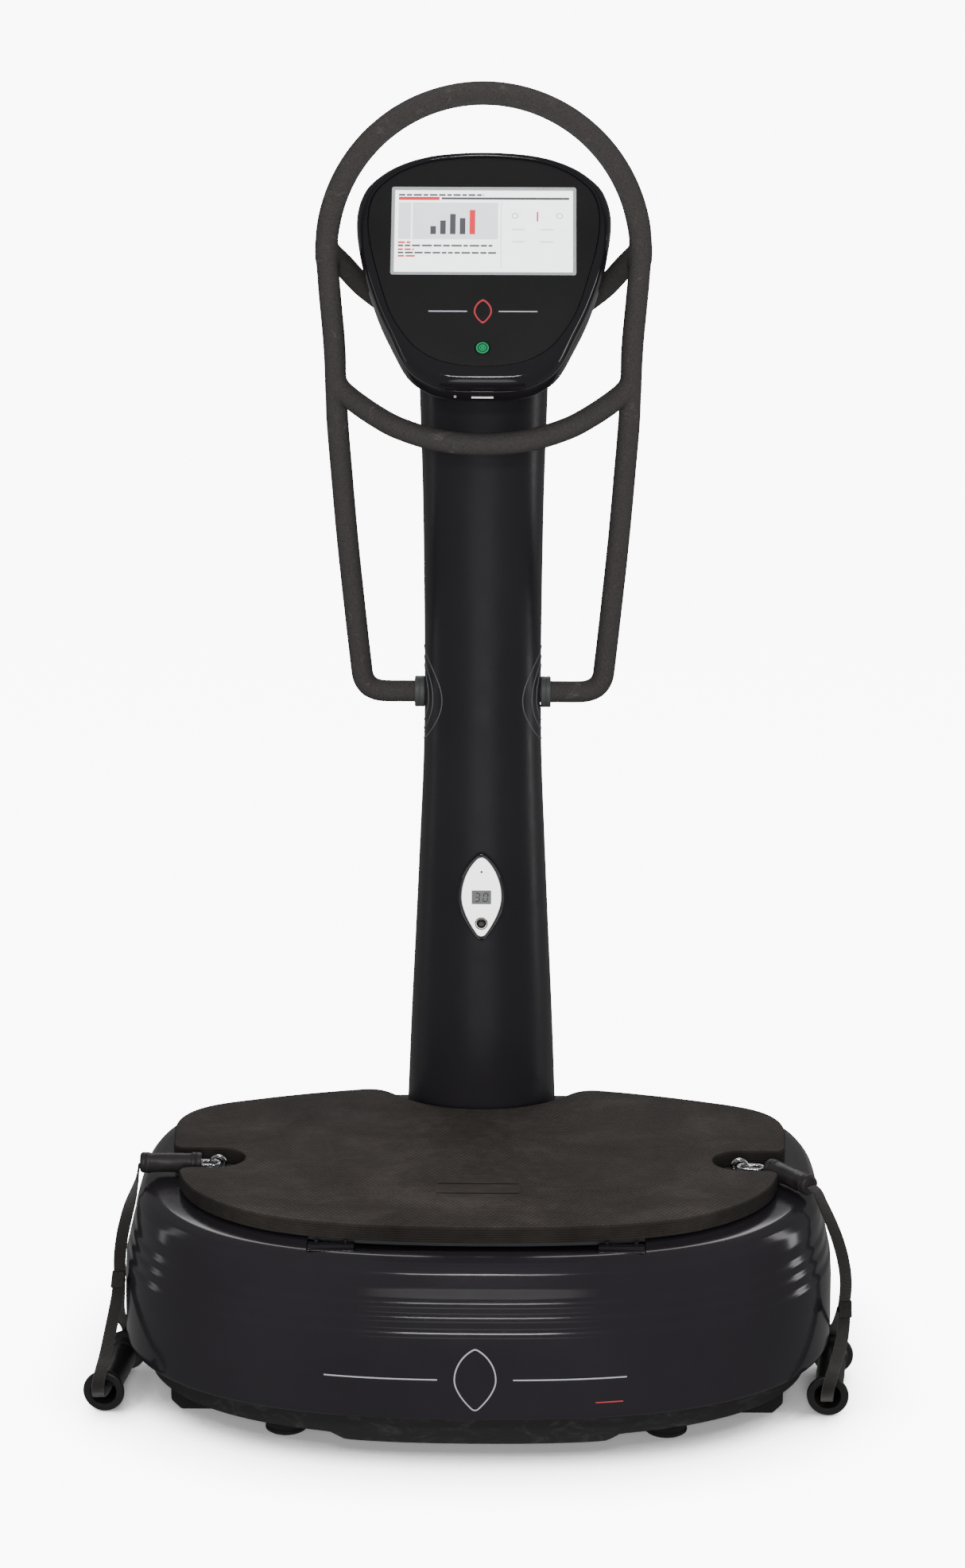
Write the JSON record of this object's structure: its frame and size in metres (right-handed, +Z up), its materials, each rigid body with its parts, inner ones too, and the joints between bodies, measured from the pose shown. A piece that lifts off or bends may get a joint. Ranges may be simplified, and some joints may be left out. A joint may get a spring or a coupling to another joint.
{
  "type": "vibration plate",
  "caption": "Whole-body vibration exercise machine: oval base with a sprung platform, column, looped handlebar, tilted touch-screen console and hand straps.",
  "frame": {"origin": "on the floor, at the middle of the base's width and depth", "axes": "+Z up, +X to the user's right as they face the column, -Y towards the user"},
  "size_m": [0.94, 0.673, 1.5654],
  "materials": {
    "shell_plastic": "satin charcoal moulded ABS",
    "skirt_plastic": "matte, scuffed",
    "chassis_steel": "powder coat",
    "black_rubber": "matte",
    "mat_foam": "soft dotted foam rubber",
    "latch_plastic": "semi-matte",
    "bar_foam": "matte foam sleeve",
    "collar_plastic": "matte slate",
    "console_gloss": "high gloss black",
    "console_face": "matte membrane",
    "silver_trim": "satin silver",
    "screen_glass": "lit display",
    "circuit_board": "solder mask",
    "green_button": "satin",
    "white_plastic": "satin white",
    "motor_alloy": "die-cast",
    "chrome": "polished",
    "webbing": "ribbed woven webbing",
    "grip_rubber": "satin moulded rubber"
  },
  "bodies": {
    "machine": {"base_shell": "shell_plastic", "column_front_cover": "shell_plastic", "column_rear_cover": "shell_plastic", "base_skirt": "skirt_plastic", "base_frame": "chassis_steel", "column_post": "chassis_steel", "console_bracket": "chassis_steel", "foot_front_left": "black_rubber", "foot_front_right": "black_rubber", "foot_rear_left": "black_rubber", "foot_rear_right": "black_rubber", "air_mount_front_left": "black_rubber", "air_mount_front_right": "black_rubber", "air_mount_rear_left": "black_rubber", "air_mount_rear_right": "black_rubber", "side_foot_left": "black_rubber", "side_foot_right": "black_rubber", "socket_bush_left": "black_rubber", "socket_bush_right": "black_rubber", "front_latch_left": "latch_plastic", "front_latch_right": "latch_plastic", "mains_inlet": "latch_plastic", "status_surround": "latch_plastic", "handlebar_leg_left": "bar_foam", "handlebar_leg_right": "bar_foam", "handlebar_arch": "bar_foam", "handlebar_cross_bar": "bar_foam", "handlebar_arm_left": "bar_foam", "handlebar_arm_right": "bar_foam", "socket_collar_left": "collar_plastic", "socket_collar_right": "collar_plastic", "console_shell": "console_gloss", "console_face": "console_face", "screen_bezel": "silver_trim", "display_screen": "screen_glass", "status_lcd": "screen_glass", "display_board": "circuit_board", "status_panel": "white_plastic", "motor_controller": "motor_alloy"},
    "platform": {"platform_plate": "chassis_steel", "plate_mat": "mat_foam", "motor_housing_left": "motor_alloy", "motor_housing_right": "motor_alloy", "strap_eye_left": "chrome", "strap_eye_right": "chrome"},
    "rotor_left": {"rotor_left": "chassis_steel"},
    "strap_left": {"strap_hook_left": "chrome", "strap_sleeve_left": "grip_rubber", "strap_webbing_left": "webbing", "strap_loop_left": "webbing"},
    "grip_left": {"strap_grip_left": "grip_rubber"},
    "rotor_right": {"rotor_right": "chassis_steel"},
    "strap_right": {"strap_hook_right": "chrome", "strap_sleeve_right": "grip_rubber", "strap_webbing_right": "webbing", "strap_loop_right": "webbing"},
    "grip_right": {"strap_grip_right": "grip_rubber"},
    "power_button": {"power_button": "green_button"},
    "status_button": {"status_button": "latch_plastic"},
    "mains_switch": {"mains_switch": "latch_plastic"}
  },
  "joints": [
    {"name": "platform_vibration", "type": "slide", "parent": "machine", "child": "platform", "axis": [0, 0, 1], "range_m": [-0.0015, 0.0015], "stiffness_N_per_m": 1500000, "springref_m": 0.00025, "deforming": ["air_mount_front_left", "air_mount_front_right", "air_mount_rear_left", "air_mount_rear_right"]},
    {"name": "rotor_left_spin", "type": "hinge", "parent": "platform", "child": "rotor_left", "pos_m": [-0.12, -0.019, 0.176], "axis": [0, 1, 0], "continuous": true},
    {"name": "rotor_right_spin", "type": "hinge", "parent": "platform", "child": "rotor_right", "pos_m": [0.12, -0.019, 0.176], "axis": [0, 1, 0], "continuous": true},
    {"name": "power_button_press", "type": "slide", "parent": "machine", "child": "power_button", "axis": [0, 0.7986, -0.6018], "range_m": [0, 0.0012], "stiffness_N_per_m": 900},
    {"name": "status_button_press", "type": "slide", "parent": "machine", "child": "status_button", "axis": [0, 0.9992, -0.0401], "range_m": [0, 0.0012], "stiffness_N_per_m": 900},
    {"name": "mains_switch_rock", "type": "hinge", "parent": "machine", "child": "mains_switch", "pos_m": [0.024, 0.3295, 0.1155], "axis": [1, 0, 0], "range_deg": [0, 11.4]},
    {"name": "strap_left_lift", "type": "hinge", "parent": "platform", "child": "strap_left", "pos_m": [-0.32, -0.019, 0.267], "axis": [0, 1, 0], "range_deg": [0, 110]},
    {"name": "grip_left_spin", "type": "hinge", "parent": "strap_left", "child": "grip_left", "pos_m": [-0.451, -0.165, 0.026], "axis": [0.1073, 0.9942, 0], "continuous": true},
    {"name": "strap_right_lift", "type": "hinge", "parent": "platform", "child": "strap_right", "pos_m": [0.32, -0.019, 0.267], "axis": [0, -1, 0], "range_deg": [0, 110]},
    {"name": "grip_right_spin", "type": "hinge", "parent": "strap_right", "child": "grip_right", "pos_m": [0.423, -0.163, 0.026], "axis": [0.1231, 0.9924, 0], "continuous": true}
  ],
  "couplings": [
    {"joint": "rotor_right_spin", "follows": "rotor_left_spin", "ratio": -1}
  ]
}
